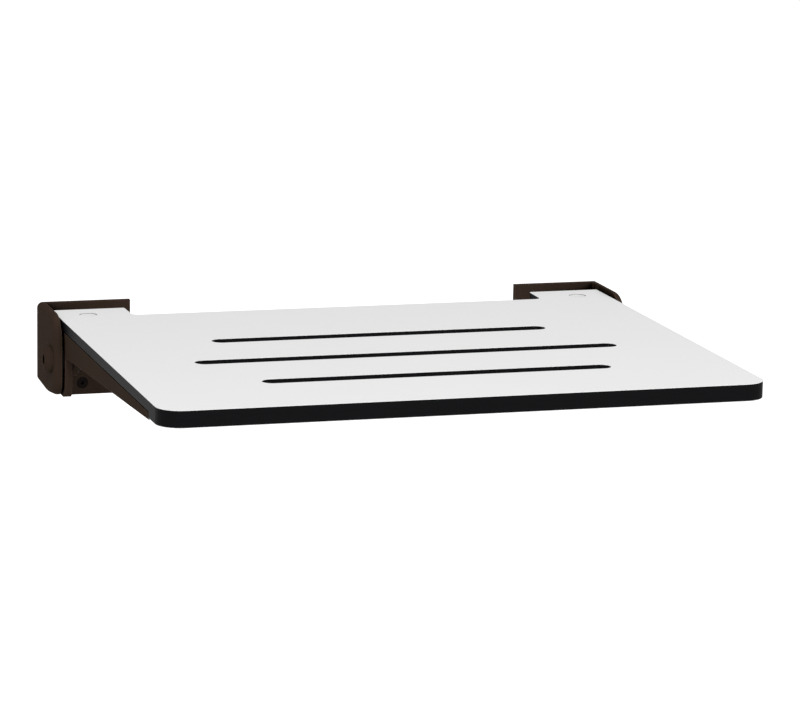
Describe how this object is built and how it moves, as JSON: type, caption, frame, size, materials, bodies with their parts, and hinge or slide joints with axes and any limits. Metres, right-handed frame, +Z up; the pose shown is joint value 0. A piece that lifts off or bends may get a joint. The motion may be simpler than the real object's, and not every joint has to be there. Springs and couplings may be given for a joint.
{
  "type": "fold-up wall-mounted shower seat",
  "caption": "Wall-mounted shower seat: flat slotted white laminate board with a black core edge, on tapered side arms that fold up on dark bronze wall brackets.",
  "frame": {"origin": "on the wall plane, at the centre of the wall screw pattern, midway between the two brackets; the seat's top is 40 mm above it", "axes": "+Z up, +Y into the wall, so the seat reaches out along -Y; +X along the seat's width"},
  "size_m": [0.485, 0.434, 0.0755],
  "materials": {
    "laminate_white": "satin white laminate face",
    "laminate_core": "machined black compact-laminate edge",
    "bronze_coat": "dark oil-rubbed-bronze powder coat on steel",
    "bronze_screw": "dark coated steel screw",
    "stainless": "plain stainless fastener",
    "brass": "plain turned brass",
    "cap_white": "smooth white moulded cap",
    "black_nylon": "moulded black nylon"
  },
  "bodies": {
    "wall_mount": {"left_wall_bracket": "bronze_coat", "left_pivot_pin": "bronze_coat", "left_thrust_washer": "black_nylon", "left_end_washer": "bronze_screw", "left_lock_nut": "bronze_screw", "left_wall_screws": "bronze_screw", "right_wall_bracket": "bronze_coat", "right_pivot_pin": "bronze_coat", "right_thrust_washer": "black_nylon", "right_end_washer": "bronze_screw", "right_lock_nut": "bronze_screw", "right_wall_screws": "bronze_screw"},
    "seat": {"seat_core": "laminate_core", "seat_top_face": "laminate_white", "seat_under_face": "laminate_white", "tab_bolts": "stainless", "left_seat_arm": "bronze_coat", "left_arm_screws": "stainless", "left_thread_inserts": "brass", "left_tab_cap": "cap_white", "left_stop_pad": "black_nylon", "left_pivot_bush": "black_nylon", "right_seat_arm": "bronze_coat", "right_arm_screws": "stainless", "right_thread_inserts": "brass", "right_tab_cap": "cap_white", "right_stop_pad": "black_nylon", "right_pivot_bush": "black_nylon"}
  },
  "joints": [
    {"name": "seat_fold", "type": "hinge", "parent": "wall_mount", "child": "seat", "pos_m": [0, -0.053, 0.0079], "axis": [-1, 0, 0], "range_deg": [0, 90]}
  ]
}
